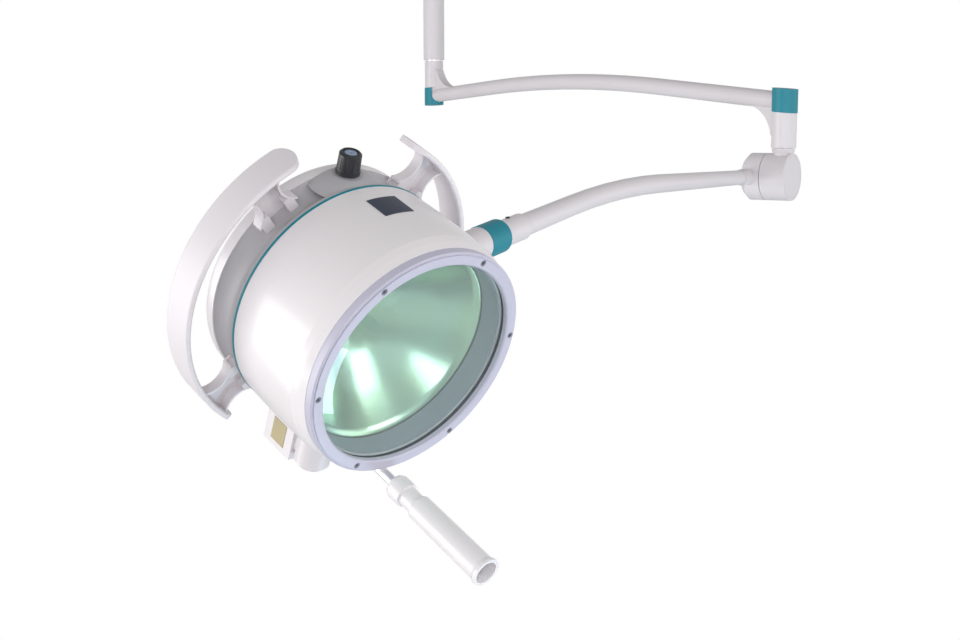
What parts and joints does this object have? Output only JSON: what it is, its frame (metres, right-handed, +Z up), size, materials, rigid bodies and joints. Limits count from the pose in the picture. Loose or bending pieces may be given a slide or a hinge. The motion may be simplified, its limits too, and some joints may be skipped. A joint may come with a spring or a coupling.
{
  "type": "dental operating light",
  "caption": "Ceiling-mounted dental operating light: jointed swing arm with friction drum, round lamp head with reflector behind a glass front, grab handles, dimmer knob and focusing grip.",
  "frame": {"origin": "centre of the ceiling flange's upper face, on the axis of the drop tube", "axes": "+Z up, +X along the upper arm at rest, +Y completes a right-handed frame"},
  "size_m": [1.781, 1.379, 0.9776],
  "materials": {
    "painted_white": "satin",
    "shell_plastic": "gloss",
    "grey_plastic": "matte",
    "teal_plastic": "gloss",
    "ring_lacquer": "satin",
    "steel": "brushed",
    "bronze": "machined",
    "black_metal": "satin",
    "black_plastic": "fine grained",
    "black_rubber": "matte",
    "clear_glass": "polished",
    "dichroic_mirror": "polished",
    "baffle_grey": "satin",
    "brake_lining": "matte",
    "ceramic": "matte",
    "label_foil": "satin",
    "plate_enamel": "satin"
  },
  "bodies": {
    "ceiling_mount": {"ceiling_flange": "steel", "canopy": "painted_white", "drop_tube": "painted_white", "ceiling_spindle": "steel"},
    "upper_arm": {"arm_end_ceiling": "painted_white", "upper_arm_tube": "painted_white", "arm_end_elbow": "painted_white", "ceiling_cap": "teal_plastic", "elbow_cap": "teal_plastic", "ceiling_bushes": "bronze", "elbow_bushes": "bronze", "upper_brake_screws": "black_metal"},
    "elbow": {"elbow_spindle": "steel", "drum_housing": "painted_white", "drum_cover": "painted_white"},
    "lower_arm": {"drum_rotor": "painted_white", "drum_axle": "steel", "friction_disc": "brake_lining", "disc_springs": "steel", "axle_nut": "steel", "lower_arm_tube": "painted_white", "wrist_sleeve": "painted_white", "wrist_bushes": "bronze", "wrist_brake_screw": "black_metal"},
    "wrist": {"wrist_link": "painted_white", "wrist_cap": "teal_plastic", "wrist_spindle": "steel", "pan_bush": "bronze"},
    "lamp_head": {"head_bracket": "painted_white", "bracket_screws": "steel", "pan_pin": "steel", "pan_washers": "black_plastic", "front_casing": "shell_plastic", "accent_ring": "teal_plastic", "rear_housing": "grey_plastic", "rear_cover": "shell_plastic", "rear_cover_screws": "steel", "lamp_frame": "steel", "frame_screws": "steel", "front_ring": "ring_lacquer", "ring_screws": "steel", "front_glass": "clear_glass", "glass_gasket": "black_rubber", "baffle_ring": "baffle_grey", "reflector": "dichroic_mirror", "guide_pins": "steel", "handle_left": "grey_plastic", "handle_right": "grey_plastic", "handle_screws": "steel", "grip_bracket": "painted_white", "rating_label": "label_foil", "nameplate": "plate_enamel", "dimmer_pot": "black_metal"},
    "lamp_carriage": {"socket_carrier": "steel", "lamp_socket": "ceramic", "halogen_bulb": "clear_glass"},
    "dimmer_knob": {"knob": "black_plastic"},
    "focus_grip": {"grip_rod": "steel", "bayonet_collar": "shell_plastic"},
    "sterile_sleeve": {"grip_sleeve": "shell_plastic"}
  },
  "joints": [
    {"name": "ceiling_swivel", "type": "hinge", "parent": "ceiling_mount", "child": "upper_arm", "pos_m": [0, 0, -0.422], "axis": [0, 0, 1], "range_deg": [-165, 165]},
    {"name": "elbow_swivel", "type": "hinge", "parent": "upper_arm", "child": "elbow", "pos_m": [1.125, 0, -0.44892], "axis": [0, 0, 1], "range_deg": [-75, 215]},
    {"name": "arm_lift", "type": "hinge", "parent": "elbow", "child": "lower_arm", "pos_m": [1.07801, -0.0171, -0.58192], "axis": [-0.9397, -0.342, 0], "range_deg": [-45, 20]},
    {"name": "head_tilt", "type": "hinge", "parent": "lower_arm", "child": "wrist", "pos_m": [1.36856, -0.81537, -0.63838], "axis": [0.3373, -0.9268, -0.165], "range_deg": [-120, 90]},
    {"name": "head_pan", "type": "hinge", "parent": "wrist", "child": "lamp_head", "pos_m": [1.40304, -0.91009, -0.65525], "axis": [0.4338, -0.0026, 0.901], "range_deg": [-60, 90]},
    {"name": "knob_turn", "type": "hinge", "parent": "lamp_head", "child": "dimmer_knob", "pos_m": [1.50665, -1.1057, -0.53954], "axis": [0.441, -0.0647, 0.8952], "range_deg": [0, 270]},
    {"name": "grip_turn", "type": "hinge", "parent": "lamp_head", "child": "focus_grip", "pos_m": [1.579, -1.06237, -0.91076], "axis": [0.8917, 0.1445, -0.4289], "range_deg": [-60, 60]},
    {"name": "sleeve_pull", "type": "slide", "parent": "focus_grip", "child": "sterile_sleeve", "axis": [0.8917, 0.1445, -0.4289], "range_m": [0, 0.06]},
    {"name": "lamp_focus", "type": "slide", "parent": "lamp_head", "child": "lamp_carriage", "axis": [0.8917, 0.1445, -0.4289], "range_m": [-0.005, 0.005]}
  ],
  "couplings": [
    {"joint": "grip_turn", "follows": "lamp_focus", "rad_per_m": 209}
  ]
}
